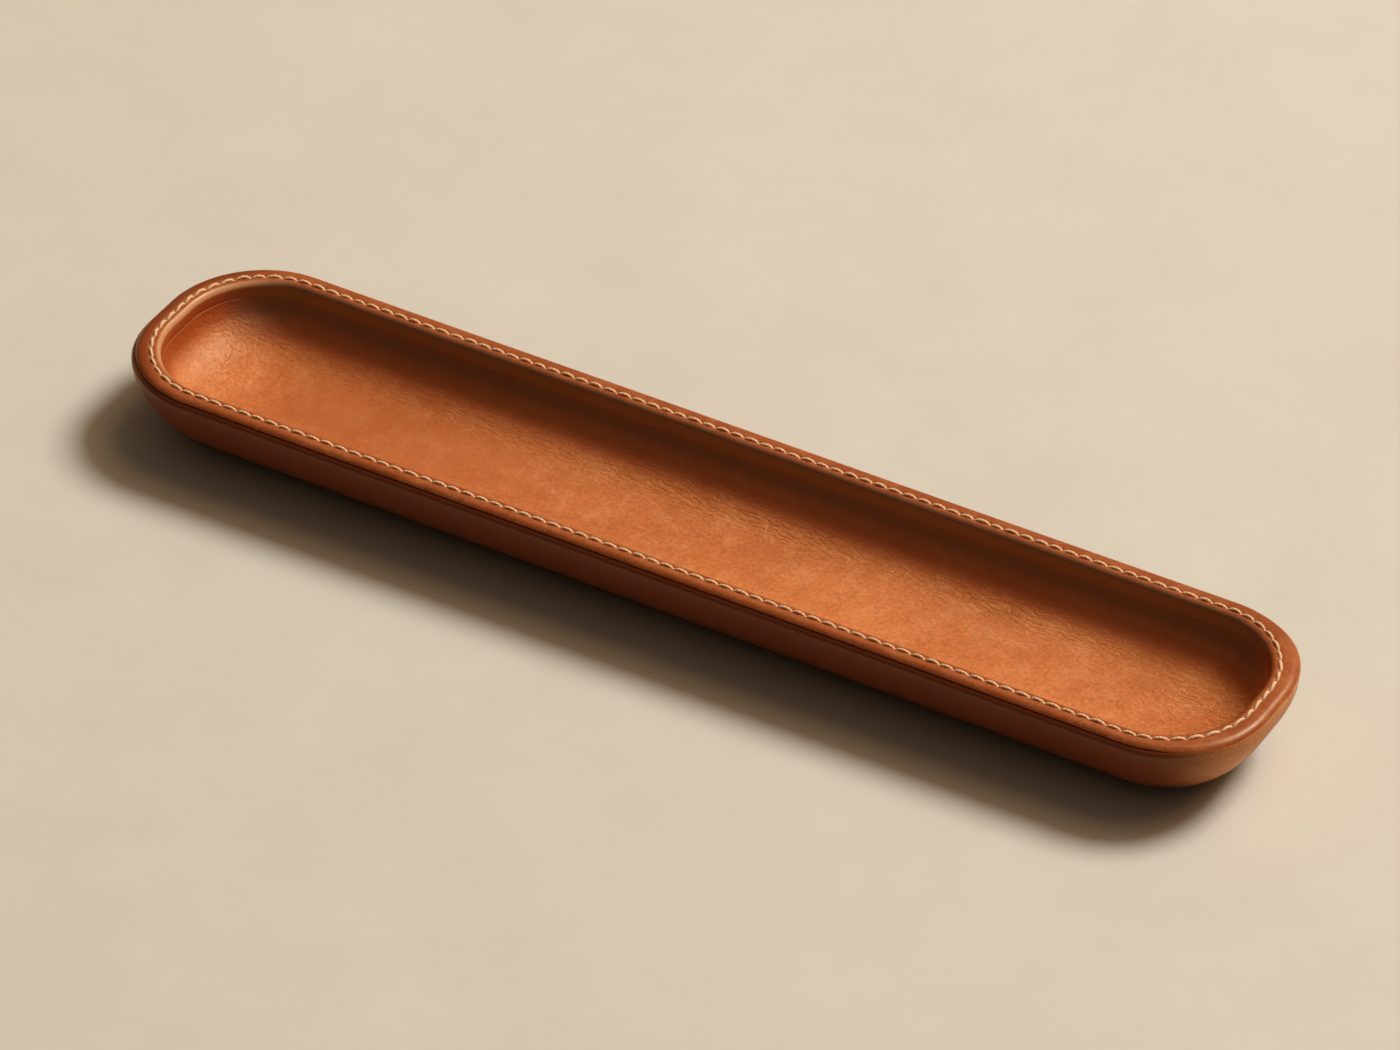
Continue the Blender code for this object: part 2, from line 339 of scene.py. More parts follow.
def superellipse(width: float, drop: float, power: float, steps: int) -> Section:
    """A quarter superellipse, from its side to its bottom.

    Args:
        width: its half width.
        drop: its depth.
        power: 2 for an ellipse, more for a fuller curve.
        steps: number of steps.

    Returns:
        The points, as (across, down).
    """
    points = []
    for step in range(steps + 1):
        angle = math.pi / 2 * step / steps
        across = width * max(math.cos(angle), 0.0) ** (2 / power)
        points.append((across, drop * math.sin(angle) ** (2 / power)))
    return points


def evenly_spaced(points: Section, spacing: float) -> Section:
    """Resample a run of points, and keep both its ends.

    Args:
        points: the run.
        spacing: about how far apart the new points are.

    Returns:
        The new points.
    """
    marks = [0.0]
    for before, after in zip(points, points[1:]):
        marks.append(marks[-1] + math.dist(before, after))
    count = max(round(marks[-1] / spacing), 1)
    spaced = []
    index = 0
    for step in range(count + 1):
        mark = marks[-1] * step / count
        while index < len(points) - 2 and marks[index + 1] < mark:
            index += 1
        part = (mark - marks[index]) / max(marks[index + 1] - marks[index], TINY)
        spaced.append(between(points[index], points[index + 1], part))
    return spaced


def section_normals(points: Section) -> Section:
    """Find the directions that the points of a run face.

    Args:
        points: the run.

    Returns:
        For each point, the unit direction to its left.
    """
    normals = []
    for before, after in zip(points[:1] + points[:-1], points[1:] + points[-1:]):
        length = max(math.dist(before, after), TINY)
        normals.append(((before[1] - after[1]) / length, (after[0] - before[0]) / length))
    return normals


def other_face(points: Section, thickness: float) -> Section:
    """The leather's other face.

    Args:
        points: the face that is drawn.
        thickness: how far to its right the other one lies.

    Returns:
        The other face's points, in the same order.
    """
    moved = []
    for (offset, height), (left, up) in zip(points, section_normals(points)):
        moved.append((offset - left * thickness, height - up * thickness))
    return moved


def swept_mesh(
    name: str,
    stations: int,
    rows: int,
    place: Callable[[float, int], Placed],
    masks: tuple[str, ...] = (),
) -> bpy.types.Object:
    """Wrap a bmesh grid into a closed sweep.

    The grid's first side runs round the seam line and its second along the section. Its own
    UVs stay, u once round and v once along the section. Edges that meet are merged.

    Args:
        name: the new object's name.
        stations: number of steps round the seam line.
        rows: number of steps along the section.
        place: gives the place and the mask values for a share of the way round and a row.
        masks: names of the float attributes that place gives values for.

    Returns:
        The new object, smooth shaded and linked to the scene.
    """
    shape = bmesh.new()
    shape.loops.layers.uv.new("UVMap")
    layers = {mask: shape.verts.layers.float.new(mask) for mask in masks}
    bmesh.ops.create_grid(shape, x_segments=stations, y_segments=rows, size=0.5, calc_uvs=True)
    for vertex in shape.verts:
        station = round((vertex.co.x + 0.5) * stations)
        row = round((vertex.co.y + 0.5) * rows)
        spot, values = place((station % stations) / stations, row)
        vertex.co = spot
        for mask, layer in layers.items():
            vertex[layer] = values.get(mask, 0.0)
    bmesh.ops.remove_doubles(shape, verts=shape.verts, dist=MERGE_DISTANCE)
    bmesh.ops.recalc_face_normals(shape, faces=shape.faces)
    for face in shape.faces:
        face.smooth = True
    mesh = bpy.data.meshes.new(name)
    shape.to_mesh(mesh)
    shape.free()
    piece = bpy.data.objects.new(name, mesh)
    bpy.context.scene.collection.objects.link(piece)
    return piece


def finished(
    piece: bpy.types.Object, material: bpy.types.Material, slot: str, *nodes: str
) -> bpy.types.Object:
    """Dress a piece, let it ride on the tray's body and stand for its CAD nodes.

    Args:
        piece: the new object.
        material: its finish.
        slot: a material slot's name; not used.
        nodes: the CAD nodes that it replaces.

    Returns:
        The same object.
    """
    piece.data.materials.append(material)
    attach(piece, BODY)
    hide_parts(*nodes)
    return piece


class Grain(Enum):
    """How a leather's face was worked, with the size of its pebbling in millimetres."""

    SMOOTH = 0.9
    BURNISHED = 1.3


@dataclass(frozen=True)
class Mottle:
    """Clouds, and how the middle of their range is spread.

    They are size_mm across. Where they rise from low to high, the share that they give rises
    from least to most.
    """

    size_mm: float
    detail: float
    fineness: float
    low: float
    high: float
    least: float = 0.0
    most: float = 1.0

    def share(self, tree: Tree, spot: Socket) -> Socket:
        """Lay the clouds out.

        Args:
            tree: the material's node tree.
            spot: the object coordinates.

        Returns:
            The share's socket.
        """
        size = {"Vector": spot, "Scale": per_metre(self.size_mm)}
        fine = {"Detail": self.detail, "Roughness": self.fineness}
        clouds = add_node(tree, "TexNoise", size | fine)
        taken = {"Value": clouds.outputs["Fac"], "From Min": self.low, "From Max": self.high}
        given = {"To Min": self.least, "To Max": self.most}
        return add_node(tree, "MapRange", taken | given).outputs["Result"]


@dataclass(frozen=True)
class Finish(ABC):
    """A material whose pattern lies in the tray's own coordinates."""

    name: str
    roughness: float

    def material(self) -> bpy.types.Material:
        """Make the material.

        Returns:
            The new material.
        """
        material = bpy.data.materials.new(self.name)
        material.use_nodes = True
        tree = material.node_tree
        spot = add_node(tree, "TexCoord").outputs["Object"]
        feed(tree, tree.nodes["Principled BSDF"], self.sockets(tree, spot))
        return material

    @abstractmethod
    def sockets(self, tree: Tree, spot: Socket) -> dict:
        """Make the pattern's nodes.

        Args:
            tree: the material's node tree.
            spot: the object coordinates.

        Returns:
            What the shader's inputs get, by name.
        """


@dataclass(frozen=True)
class TannedLeather(Finish):
    """Vegetable-tanned cowhide, moulded wet, dyed tan and waxed.

    The dye takes unevenly, so it is mottled at several sizes. The pores and the fine grain
    break up the wax's soft sheen. A tone is laid on where the mesh's mask of its name says,
    in the order of the tones: wet moulding draws the dye up to a deep tone, which on the far
    fillet stands for painted shade; painted shade darkens the walls along the sides; painted
    shade darkens the needle holes, the stitch valley and the wall's foot, and the same mask
    gives the rim's left end a darker tone; a pale painted highlight lies on the left lip.
    The mask named burnish makes rubbed leather glossier.
    """

    face: str
    deep: str
    pale: str
    tones: dict[str, str]
    grain: Grain
    grain_depth_mm: float
    ior: float = 1.5
    wax: float = 0.5
    # The wax is honey coloured, and so is the light that it throws back
    wax_tint: tuple[float, ...] = (1.0, 0.80, 0.42, 1.0)
    coat: float = 0.06
    coat_roughness: float = 0.3
    coat_tint: tuple[float, ...] = (1.0, 0.9, 0.76, 1.0)
    gloss_patches: Mottle = Mottle(size_mm=6.0, detail=3.0, fineness=0.55, low=0.3, high=0.7)
    gloss_sway: float = 0.07
    burnish_gain: float = 0.16
    wide_clouds: Mottle = Mottle(size_mm=24.0, detail=4.0, fineness=0.6, low=0.34, high=0.68)
    small_clouds: Mottle = Mottle(
        size_mm=4.5, detail=5.0, fineness=0.62, low=0.46, high=0.74, most=0.6
    )
    # The fibre speckle is drawn at 0.7 mm, the finest that shows at this size
    speckle: Mottle = Mottle(
        size_mm=0.7, detail=2.0, fineness=0.6, low=0.25, high=0.75, least=0.77, most=1.23
    )
    pore_mm: float = 0.5
    pore_strength: float = 0.55
    pebble_strength: float = 0.4
    wrinkle_depth_mm: float = 0.0
    # Each mask's stretch along the tray, and the size of its cells in millimetres
    cells: tuple[tuple[str, float, float], ...] = (
        ("wrinkle", 0.17, 1.15),
        ("crackle", 0.85, 2.0),
    )
    cell_edge: float = 0.2
    stray_size_mm: float = 5.0
    stray_mm: float = 3.0

    def sockets(self, tree: Tree, spot: Socket) -> dict:
        """Lay on the dye and the wax, and raise the grain.

        Args:
            tree: the material's node tree.
            spot: the object coordinates.

        Returns:
            What the shader's inputs get, by name.
        """
        least, most = self.roughness - self.gloss_sway, self.roughness + self.gloss_sway
        patches = replace(self.gloss_patches, least=least, most=most)
        burnish = add_node(tree, "Attribute", attribute_name="burnish").outputs["Fac"]
        rubbed = add_node(
            tree,
            "Math",
            {0: burnish, 1: -self.burnish_gain, 2: patches.share(tree, spot)},
            operation="MULTIPLY_ADD",
        )
        return {
            "Base Color": self.dyed(tree, spot),
            "Roughness": rubbed.outputs["Value"],
            "Normal": self.relief(tree, spot),
            "IOR": self.ior,
            "Specular IOR Level": self.wax,
            "Specular Tint": self.wax_tint,
            "Coat Weight": self.coat,
            "Coat Roughness": self.coat_roughness,
            "Coat Tint": self.coat_tint,
        }

    def dyed(self, tree: Tree, spot: Socket) -> Socket:
        """Lay the dye on: wide clouds, small clouds, fine speckle, and the masks' tones.

        Args:
            tree: the material's node tree.
            spot: the object coordinates.

        Returns:
            The colour's socket.
        """
        dye = linear_colour(self.deep)
        for clouds, tone in ((self.wide_clouds, self.face), (self.small_clouds, self.pale)):
            layer = {0: clouds.share(tree, spot), 6: dye, 7: linear_colour(tone)}
            dye = add_node(tree, "Mix", layer, data_type="RGBA").outputs[2]
        shade = self.speckle.share(tree, spot)
        dye = add_node(tree, "VectorMath", {0: dye, "Scale": shade}, operation="SCALE").outputs[0]
        # Each mask lays its tone: real tones, painted shade and a painted highlight
        for mask, tone in self.tones.items():
            share = add_node(tree, "Attribute", attribute_name=mask).outputs["Fac"]
            if mask == "deep_dye_and_shade":
                uneven = {"operation": "MULTIPLY", "use_clamp": True}
                share = add_node(tree, "Math", {0: share, 1: shade}, **uneven).outputs["Value"]
            layer = {0: share, 6: dye, 7: linear_colour(tone)}
            dye = add_node(tree, "Mix", layer, data_type="RGBA").outputs[2]
        return dye

    def relief(self, tree: Tree, spot: Socket) -> Socket:
        """Raise the grain: pores, fine pebbling and, on the trough, fine wrinkles.

        Args:
            tree: the material's node tree.
            spot: the object coordinates.

        Returns:
            The normal's socket.
        """
        fine = {"Scale": per_metre(self.pore_mm), "Detail": 3.0, "Roughness": 0.6}
        pores = add_node(tree, "TexNoise", {"Vector": spot} | fine).outputs["Fac"]
        size = {"Vector": spot, "Scale": per_metre(self.grain.value), "Smoothness": 0.6}
        pebbles = add_node(tree, "TexVoronoi", size, feature="SMOOTH_F1").outputs["Distance"]
        depth = self.grain_depth_mm * MM
        bump = {"Strength": self.pore_strength, "Distance": depth, "Height": pores}
        normal = add_node(tree, "Bump", bump).outputs["Normal"]
        bump = {"Strength": self.pebble_strength, "Distance": depth, "Height": pebbles}
        normal = add_node(tree, "Bump", bump | {"Normal": normal}).outputs["Normal"]
        return self.folded(tree, spot, normal) if self.wrinkle_depth_mm > 0.0 else normal

    def folded(self, tree: Tree, spot: Socket, normal: Socket) -> Socket:
        """Fold the face where the wet leather was pressed round a curve.

        It took fine folds along the trough and a crackle of small cells at the end.

        Args:
            tree: the material's node tree.
            spot: the object coordinates.
            normal: the normal's socket so far.

        Returns:
            The normal's socket.
        """
        size = {"Scale": per_metre(self.stray_size_mm), "Detail": 3.0, "Roughness": 0.6}
        wander = add_node(tree, "TexNoise", {"Vector": spot} | size).outputs["Color"]
        strayed = {0: wander, 1: (self.stray_mm * MM,) * 3, 2: spot}
        strayed = add_node(tree, "VectorMath", strayed, operation="MULTIPLY_ADD").outputs[0]
        for mask, stretch, cell_mm in self.cells:
            drawn = add_node(tree, "Mapping", {"Vector": strayed, "Scale": (stretch, 1.0, 1.0)})
            cells = add_node(
                tree,
                "TexVoronoi",
                {"Vector": drawn.outputs["Vector"], "Scale": per_metre(cell_mm)},
                feature="DISTANCE_TO_EDGE",
            )
            edges = add_node(
                tree,
                "MapRange",
                {"Value": cells.outputs["Distance"], "From Max": self.cell_edge},
                interpolation_type="SMOOTHSTEP",
            )
            place = add_node(tree, "Attribute", attribute_name=mask).outputs["Fac"]
            both = {0: edges.outputs["Result"], 1: place}
            height = add_node(tree, "Math", both, operation="MULTIPLY").outputs["Value"]
            bump = {"Strength": 1.0, "Distance": self.wrinkle_depth_mm * MM, "Height": height}
            normal = add_node(tree, "Bump", bump | {"Normal": normal}).outputs["Normal"]
        return normal


@dataclass(frozen=True)
class FibrousFinish(Finish):
    """A matt face of fibres: two tones that follow them, and a little relief.

    Where strokes are given, a wider pattern of them breaks up the fibres' tones.
    """

    shade: str
    face: str
    fibre_mm: float
    detail: float
    fineness: float = 0.5
    distortion: float = 0.0
    stroke_mm: float = 0.0
    tone_span: Span = (0.0, 1.0)
    relief: float = 0.0
    relief_mm: float = 0.0
    sheen: float = 0.0

    def sockets(self, tree: Tree, spot: Socket) -> dict:
        """Lay the fibres out.

        Args:
            tree: the material's node tree.
            spot: the object coordinates.

        Returns:
            What the shader's inputs get, by name.
        """
        size = {"Vector": spot, "Scale": per_metre(self.fibre_mm), "Detail": self.detail}
        fine = {"Roughness": self.fineness, "Distortion": self.distortion}
        fibres = add_node(tree, "TexNoise", size | fine).outputs["Fac"]
        tone = fibres
        if self.stroke_mm > 0.0:
            size = {"Scale": per_metre(self.stroke_mm), "Detail": 4.0, "Distortion": 0.6}
            strokes = add_node(tree, "TexNoise", {"Vector": spot} | size).outputs["Fac"]
            both = {0: strokes, 1: fibres}
            tone = add_node(tree, "Math", both, operation="MULTIPLY").outputs["Value"]
        low, high = self.tone_span
        share = add_node(tree, "MapRange", {"Value": tone, "From Min": low, "From Max": high})
        tones = {6: linear_colour(self.shade), 7: linear_colour(self.face)}
        mixed = {0: share.outputs["Result"]} | tones
        sockets = {
            "Base Color": add_node(tree, "Mix", mixed, data_type="RGBA").outputs[2],
            "Roughness": self.roughness,
            "Sheen Weight": self.sheen,
        }
        if self.relief > 0.0:
            bump = {"Strength": self.relief, "Distance": self.relief_mm * MM, "Height": fibres}
            sockets["Normal"] = add_node(tree, "Bump", bump).outputs["Normal"]
        return sockets


@dataclass(frozen=True)
class Stitch:
    """One stitch of the top thread, between two needle holes."""

    start: float
    end: float
    rise: float
    slant: float
    weight: float


@dataclass(frozen=True)
class SaddleSeam:
    """The hand-pricked seam: where its holes are and how each stitch lies."""

    line: SeamLine
    pitch: float = 3.35 * MM
    # A hole strays by a part of the pitch, and no two stitches rise, slant or swell alike
    spread: float = 0.075
    hole_gain: float = 2.0
    rise_sway: float = 0.30
    slant: float = 0.10 * MM
    weight_sway: float = 0.10
    # Where the noise is read for the holes and the stitches: step, then the other places
    hole_row: tuple[float, float, float] = (1.37, 4.2, 0.5)
    stitch_row: tuple[float, float, float] = (1.73, 9.1, 2.4)

    @property
    def count(self) -> int:
        """The number of stitches once round."""
        return round(self.line.length / self.pitch)

    def hole(self, index: int) -> float:
        """Where a needle hole is, a little off the even pitch.

        Args:
            index: which hole, from 0; after the last comes the first.

        Returns:
            The share of the way round.
        """
        step, *rest = self.hole_row
        jitter = noise.noise(Vector((index % self.count * step, *rest))) * self.hole_gain
        return (index + max(min(jitter, 1.0), -1.0) * self.spread) / self.count

    def stitches(self) -> list[Stitch]:
        """Lay every stitch.

        Returns:
            The stitches in order.
        """
        step, *rest = self.stitch_row
        made = []
        for index in range(self.count):
            chance = noise.noise_vector(Vector((index * step, *rest)))
            made.append(
                Stitch(
                    start=self.hole(index),
                    end=self.hole(index + 1),
                    rise=1.0 + self.rise_sway * chance.x,
                    slant=self.slant * (1.0 + chance.y),
                    weight=1.0 + self.weight_sway * chance.z,
                )
            )
        return made


@dataclass(frozen=True)
class RimBinding:
    """The leather strip over the rim, from its rolled outer edge to its flap in the trough."""

    seam: SaddleSeam
    shaping: HandShaping
    top_height: float
    thickness: float = 1.2 * MM
    roll_start: float = 1.5 * MM
    roll_radius: float = 1.55 * MM
    roll_tilt: float = 56.0
    edge_radius: float = 0.14 * MM
    edge_start: float = -100.0
    underside_reach: float = 1.2 * MM
    lip_radius: float = 1.5 * MM
    wall_inset: float = 1.9 * MM
    flap_end: float = 16.05 * MM
    skive_radius: float = 0.05 * MM
    skive_rise: float = 0.03 * MM
    # How far the flap leans in with the trough's wall by its end, and what part by its bend
    flap_lean: float = 0.13 * MM
    bend_share: float = 0.36
    bend_rise: float = 0.7 * MM
    # The stitches' valley and the needle holes sink the strip's top, down to this depth of it
    top_depth: float = 1.0 * MM
    valley_depth: float = 0.16 * MM
    valley_half_width: float = 0.60 * MM
    hole_depth: float = 0.50 * MM
    hole_length: float = 0.22 * MM
    hole_half_width: float = 0.28 * MM
    # How much fuller and wider the outer roll is round the tray's right end
    end_fullness: float = 0.35
    end_widening: float = 0.30 * MM
    # Rows of the mesh lie close together near the stitches and wider apart elsewhere
    seam_reach: float = 0.8 * MM
    seam_step: float = 0.11 * MM
    plain_step: float = 0.22 * MM
    stations_per_stitch: int = 12
    # Spans of the offset, then of the height, over which shapes and tones come in
    swell_span: Span = (0.8 * MM, 2.6 * MM)
    outer_span: Span = (0.2 * MM, 1.2 * MM)
    edge_span: Span = (1.4 * MM, 2.4 * MM)
    flap_span: Span = (-0.8 * MM, -1.9 * MM)
    lip_span: Span = (-0.5 * MM, -1.2 * MM)
    lip_highlight_span: Span = (-0.85 * MM, -1.35 * MM)
    lip_highlight_heights: Span = (18.2 * MM, 18.8 * MM)
    low_heights: Span = (18.3 * MM, 17.3 * MM)
    # How strong each tone is: painted shade in the needle holes and the stitch valley,
    # a darker tone round the left end, and a painted highlight on the left lip
    hole_tone: float = 0.7
    valley_tone: float = 0.12
    left_tone: float = 0.28
    lip_highlight_tone: float = 0.9
    lip_gloss: float = 0.5
    right_dulling: float = 0.5

    def top(self, offset: float) -> float:
        """The height of the strip's top face: level, then rolled down to its edge."""
        over = max(offset - self.roll_start, 0.0)
        return self.top_height - self.roll_radius + math.sqrt(self.roll_radius**2 - over**2)

    def section(self) -> Section:
        """Draw the strip's closed section.

        Returns:
            Its points, from its edge over the top, down the flap and back.
        """
        tilt = math.radians(self.roll_tilt)
        over = self.roll_radius * math.sin(tilt)
        crest = (self.roll_start + over, self.top(self.roll_start + over))
        edge_centre = (
            crest[0] - self.edge_radius * math.sin(tilt),
            crest[1] - self.edge_radius * math.cos(tilt),
        )
        lip_centre = (self.lip_radius - self.wall_inset, self.top_height - self.lip_radius)
        edge_end = 90.0 - self.roll_tilt
        points = arc(edge_centre, self.edge_radius, self.edge_start, edge_end, segments=4)
        offset = crest[0] - self.plain_step
        while offset > lip_centre[0] + 0.5 * self.seam_step:
            points.append((offset, self.top(offset)))
            offset -= self.seam_step if offset < self.seam_reach else self.plain_step
        points += arc(lip_centre, self.lip_radius, 90.0, 180.0, segments=9)
        bend = -self.wall_inset - self.bend_share * self.flap_lean
        face = -self.wall_inset - self.flap_lean
        skive = self.skive_radius
        points.append((bend, self.flap_end + self.bend_rise))
        points.append((face, self.flap_end + skive + self.skive_rise))
        points += arc((face + skive, self.flap_end + skive), skive, 180.0, 270.0, segments=2)
        points.append((face + self.thickness, self.flap_end))
        points += arc(lip_centre, self.lip_radius - self.thickness, 180.0, 90.0, segments=3)
        points.append((self.underside_reach, self.top_height - self.thickness))
        points.append(points[0])
        return points

    def masks(
        self, offset: float, height: float, facing: float, shade_and_dark_tone: float
    ) -> dict[str, float]:
        """Where the strip takes painted shade, a painted highlight, gloss and deeper dye.

        Args:
            offset: distance out from the stitches.
            height: height above the surface below the tray.
            facing: the direction that the loop faces here.
            shade_and_dark_tone: how much painted shade lies in the stitches' valley or a needle
                hole here.

        Returns:
            The masks.
        """
        left = self.shaping.left_end(facing)
        outer = smooth_share(offset, *self.outer_span)
        edge = smooth_share(offset, *self.edge_span)
        edge *= 1.0 - self.right_dulling * self.shaping.right_end(facing)
        lip_highlight = smooth_share(offset, *self.lip_highlight_span) * smooth_share(height, *self.lip_highlight_heights)
        # Painted shade in holes, valley and side flaps; a painted highlight on the left lip
        return {
            "shade_and_dark_tone": max(shade_and_dark_tone, self.left_tone * left * outer),
            "burnish": max(edge, self.lip_gloss * smooth_share(offset, *self.lip_span)),
            "lip_highlight": self.lip_highlight_tone * lip_highlight * left,
            "side_shade": smooth_share(offset, *self.flap_span) * self.shaping.inner_side_shade(facing),
            "deep_dye_and_shade": left * (outer if offset > 0.0 else smooth_share(height, *self.low_heights)),
        }

    def build(self, finish: TannedLeather) -> bpy.types.Object:
        """Build the strip, with its stitch valley and its needle holes.

        Args:
            finish: the leather's finish.

        Returns:
            The finished piece.
        """
        line = self.seam.line
        count = self.seam.count
        section = self.section()
        holes = [self.seam.hole(index) for index in range(count)]

        def place(share: float, row: int) -> Placed:
            """Sink the valley and the holes, and fill out the roll round the right end.

            Args:
                share: how far round the seam line.
                row: which point of the section.

            Returns:
                The point's place and masks.
            """
            offset, height = section[row]
            facing = line.facing(share)
            gap = (share - holes[round(share * count) % count] + 0.5) % 1.0 - 0.5
            depth = 0.0
            shade_and_dark_tone = 0.0
            if height > self.top_height - self.top_depth:
                pull = bell(offset, 0.0, self.valley_half_width)
                at_hole = bell(gap * line.length, 0.0, self.hole_length)
                at_hole *= bell(offset, 0.0, self.hole_half_width)
                depth = self.valley_depth * pull + self.hole_depth * at_hole
                # Painted shade, darkest in the needle holes and faint along the valley
                shade_and_dark_tone = max(self.hole_tone * at_hole, self.valley_tone * pull)
            masks = self.masks(offset, height, facing, shade_and_dark_tone)
            right = self.shaping.right_end(facing)
            outward = smooth_share(offset, *self.swell_span)
            widening = smooth_share(offset, self.outer_span[0], self.roll_start)
            if offset > self.roll_start:
                fuller = 1.0 + self.end_fullness * right
                offset = self.roll_start + (offset - self.roll_start) * fuller
                height = self.top_height - (self.top_height - height) * fuller
            offset += self.shaping.swell(facing) * outward
            offset += self.end_widening * widening * right
            x, y = line.place(share, offset)
            return self.shaping.moved(x, y, height - depth), masks

        piece = swept_mesh(
            "sewn_rim_binding",
            count * self.stations_per_stitch,
            len(section) - 1,
            place,
            ("shade_and_dark_tone", "burnish", "lip_highlight", "side_shade", "deep_dye_and_shade"),
        )
        return finished(piece, finish.material(), "rim_leather", "rim_binding")


@dataclass(frozen=True)
class OuterShell:
    """The moulded leather of the outer wall and base, turned in under the rim."""

    line: SeamLine
    shaping: HandShaping
    base_height: float
    shoulder_height: float
    flange_height: float
    reach: float = 3.7 * MM
    shoulder_radius: float = 1.3 * MM
    base_half_width: float = 13.0 * MM
    wall_power: float = 1.5
    thickness: float = 1.3 * MM
    flange_inset: float = 0.6 * MM
    flange_reach: float = 1.5 * MM
    flange_thickness: float = 0.8 * MM
    # The mould left a faint ridge below the rim, with a hollow above it
    ridge_height: float = 15.5 * MM
    ridge_rise: float = 0.03 * MM
    ridge_half_width: float = 0.5 * MM
    hollow_height: float = 16.5 * MM
    hollow_depth: float = 0.05 * MM
    hollow_half_width: float = 0.9 * MM
    # How far the shoulder rises to meet the fuller rim round the tray's right end
    end_rise: float = 0.64 * MM
    # Spans of the offset, then of the height, over which shapes and tones come in
    swell_span: Span = (-1.0 * MM, 2.6 * MM)
    raised_span: Span = (2.6 * MM, 3.25 * MM)
    raised_heights: Span = (15.0 * MM, 17.5 * MM)
    # The wall darkens towards its foot and round the left end: painted shade
    shaded_heights: Span = (9.5 * MM, 1.5 * MM)
    shaded_tone: float = 0.9
    left_end_shade: float = 0.8
    wall_step: float = 0.3 * MM
    base_step: float = 1.2 * MM
    floor_gap: float = 1.0 * MM
    stations: int = 720

    def outside(self) -> Section:
        """Draw the wall's face.

        Returns:
            Its points, from the shoulder down to the middle of the base.
        """
        wall_height = self.shoulder_height - self.shoulder_radius
        base_offset = self.base_half_width - self.line.half_width
        across = self.reach - base_offset
        curve = superellipse(across, wall_height - self.base_height, self.wall_power, steps=160)
        wall = [(base_offset + out, wall_height - down) for out, down in curve]
        corner = (self.reach - self.shoulder_radius, wall_height)
        shoulder = arc(corner, self.shoulder_radius, 90.0, 0.0, segments=9)
        middle = (-self.line.half_width, self.base_height)
        base = evenly_spaced([wall[-1], middle], self.base_step)
        return shoulder[:-1] + evenly_spaced(wall, self.wall_step) + base[1:]

    def section(self) -> tuple[Section, int]:
        """The closed section, from the flange's end out, down, and back up inside.

        Returns:
            The points, and how many of them belong to the outer face.
        """
        outside = self.outside()
        flange_end = (-self.flange_inset, self.flange_height)
        face = [flange_end, (self.flange_reach, self.flange_height)] + outside
        under = self.flange_height - self.flange_thickness
        # The hidden inside has every sixth point, from below the shoulder
        clear = under - self.flange_thickness / 2
        inside = other_face([spot for spot in outside[9::6] if spot[1] < clear], self.thickness)
        floor = (-self.line.half_width, self.base_height + self.thickness)
        back = [spot for spot in reversed(inside) if spot[0] > floor[0] + self.floor_gap]
        top = [(self.reach - self.thickness, under), (-self.flange_inset, under), flange_end]
        return face + [floor] + back + top, len(face)

    def build(self, finish: TannedLeather) -> bpy.types.Object:
        """Build the shell, with the faint ridge that the mould left below the rim.

        Args:
            finish: the leather's finish.

        Returns:
            The finished piece.
        """
        section, outer = self.section()

        def place(share: float, row: int) -> Placed:
            """Raise the ridge and, round the right end, the shoulder.

            Args:
                share: how far round the seam line.
                row: which point of the section.

            Returns:
                The point's place and masks.
            """
            offset, height = section[row]
            facing = self.line.facing(share)
            burnish = 0.0
            if row < outer:
                burnish = smooth_share(height, self.ridge_height, self.flange_height)
                if offset > self.flange_reach:
                    ridge = bell(height, self.ridge_height, self.ridge_half_width)
                    hollow = bell(height, self.hollow_height, self.hollow_half_width)
                    offset += self.ridge_rise * ridge - self.hollow_depth * hollow
                raised = smooth_share(offset, *self.raised_span)
                raised *= smooth_share(height, *self.raised_heights)
                height += self.end_rise * raised * self.shaping.right_end(facing)
            offset += self.shaping.swell(facing) * smooth_share(offset, *self.swell_span)
            x, y = self.line.place(share, offset)
            # Painted shade along the sides, round the left end and towards the foot
            left = self.left_end_shade * self.shaping.left_end(facing)
            masks = {
                "burnish": burnish,
                "side_shade": max(self.shaping.side_shade(facing), left),
                "shade_and_dark_tone": self.shaded_tone * smooth_share(height, *self.shaded_heights),
            }
            return self.shaping.moved(x, y, height), masks

        piece = swept_mesh(
            "moulded_outer_shell",
            self.stations,
            len(section) - 1,
            place,
            ("burnish", "side_shade", "shade_and_dark_tone"),
        )
        return finished(piece, finish.material(), "wall_leather", "outer_shell")


